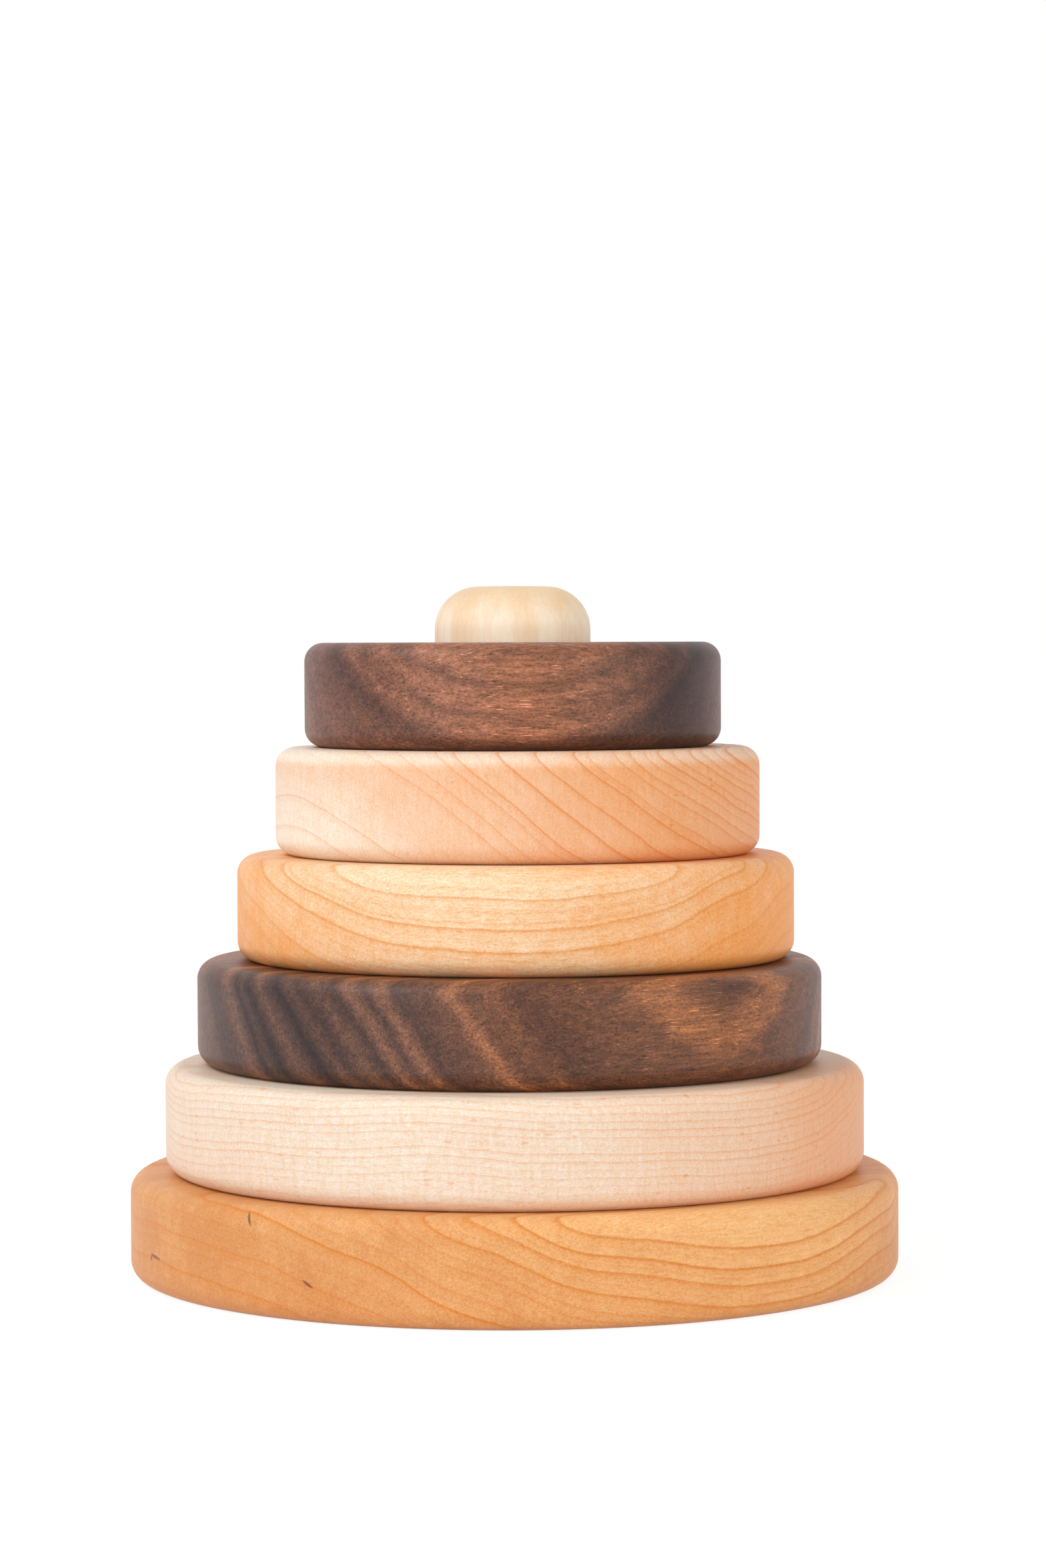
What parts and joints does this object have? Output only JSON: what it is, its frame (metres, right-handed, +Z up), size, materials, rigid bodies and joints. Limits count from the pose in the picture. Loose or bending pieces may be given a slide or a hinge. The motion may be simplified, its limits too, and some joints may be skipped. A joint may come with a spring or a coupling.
{
  "type": "stacking ring toy",
  "caption": "Wooden stacking toy: flat rings of cherry, maple and walnut, stepping down in size on a round-topped peg that stands on a disc base.",
  "frame": {"origin": "centre of the base disc's underside, on the peg's axis", "axes": "+Z up along the peg, -Y towards the viewer, +X to the viewer's right"},
  "size_m": [0.1396, 0.1396, 0.1248],
  "materials": {
    "cherry": "oiled satin",
    "maple": "oiled satin",
    "walnut": "oiled satin",
    "peg_maple": "oiled satin",
    "screw_steel": "bright zinc"
  },
  "bodies": {
    "base": {"base_disc": "cherry", "peg": "peg_maple", "peg_screw": "screw_steel", "screw_plug": "cherry"},
    "lower_maple_ring": {"lower_maple_ring": "maple"},
    "lower_walnut_ring": {"lower_walnut_ring": "walnut"},
    "cherry_ring": {"cherry_ring": "cherry"},
    "upper_maple_ring": {"upper_maple_ring": "maple"},
    "upper_walnut_ring": {"upper_walnut_ring": "walnut"}
  },
  "joints": [
    {"name": "lower_maple_ring_lift", "type": "slide", "parent": "base", "child": "lower_maple_ring", "axis": [0, 0, 1], "range_m": [0, 0.1108]},
    {"name": "lower_walnut_ring_lift", "type": "slide", "parent": "lower_maple_ring", "child": "lower_walnut_ring", "axis": [0, 0, 1], "range_m": [0, 0.0914]},
    {"name": "cherry_ring_lift", "type": "slide", "parent": "lower_walnut_ring", "child": "cherry_ring", "axis": [0, 0, 1], "range_m": [0, 0.0724]},
    {"name": "upper_maple_ring_lift", "type": "slide", "parent": "cherry_ring", "child": "upper_maple_ring", "axis": [0, 0, 1], "range_m": [0, 0.0535]},
    {"name": "upper_walnut_ring_lift", "type": "slide", "parent": "upper_maple_ring", "child": "upper_walnut_ring", "axis": [0, 0, 1], "range_m": [0, 0.034]}
  ]
}
